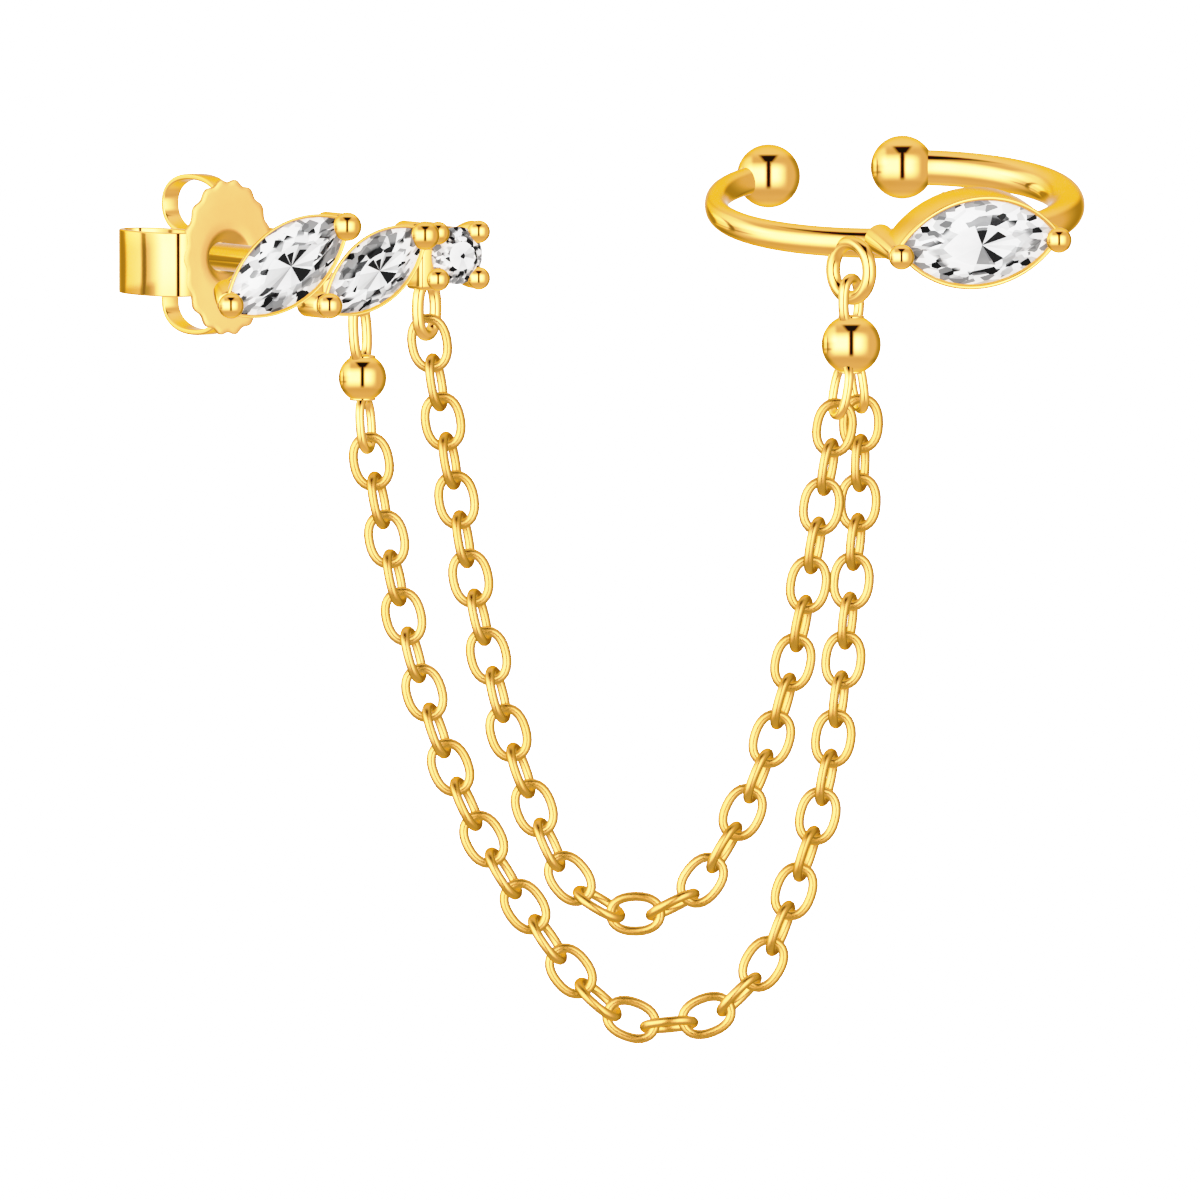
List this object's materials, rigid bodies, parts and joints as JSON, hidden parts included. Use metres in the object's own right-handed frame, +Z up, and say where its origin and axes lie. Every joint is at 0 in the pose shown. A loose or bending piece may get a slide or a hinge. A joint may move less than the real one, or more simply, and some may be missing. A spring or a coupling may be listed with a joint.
{
  "type": "ear chain earring",
  "caption": "Gold ear chain earring: a stud with two marquise stones and one round stone, joined by two fine chains and beads to an open ear cuff with a marquise stone.",
  "frame": {"origin": "on the axis of the ear post, at the back of the stud's settings, where the front of the ear lobe sits", "axes": "+Y along the post from the settings to its tip, +Z up as the earring hangs, +X along the stud's face towards the chains"},
  "size_m": [0.0283, 0.0198, 0.028],
  "materials": {
    "gold_metal": "polished yellow gold plating",
    "clear_stone": "faceted clear stone"
  },
  "bodies": {
    "earring": {"stud_frame": "gold_metal", "large_stone": "clear_stone", "middle_stone": "clear_stone", "round_stone": "clear_stone", "ear_cuff": "gold_metal", "cuff_stone": "clear_stone", "left_bead": "gold_metal", "right_bead": "gold_metal", "outer_chain": "gold_metal", "inner_chain": "gold_metal"},
    "ear_nut": {"ear_nut": "gold_metal"}
  },
  "joints": [
    {"name": "nut_slide", "type": "slide", "parent": "earring", "child": "ear_nut", "axis": [0, 1, 0], "range_m": [-0.0019, 0.0047]}
  ]
}
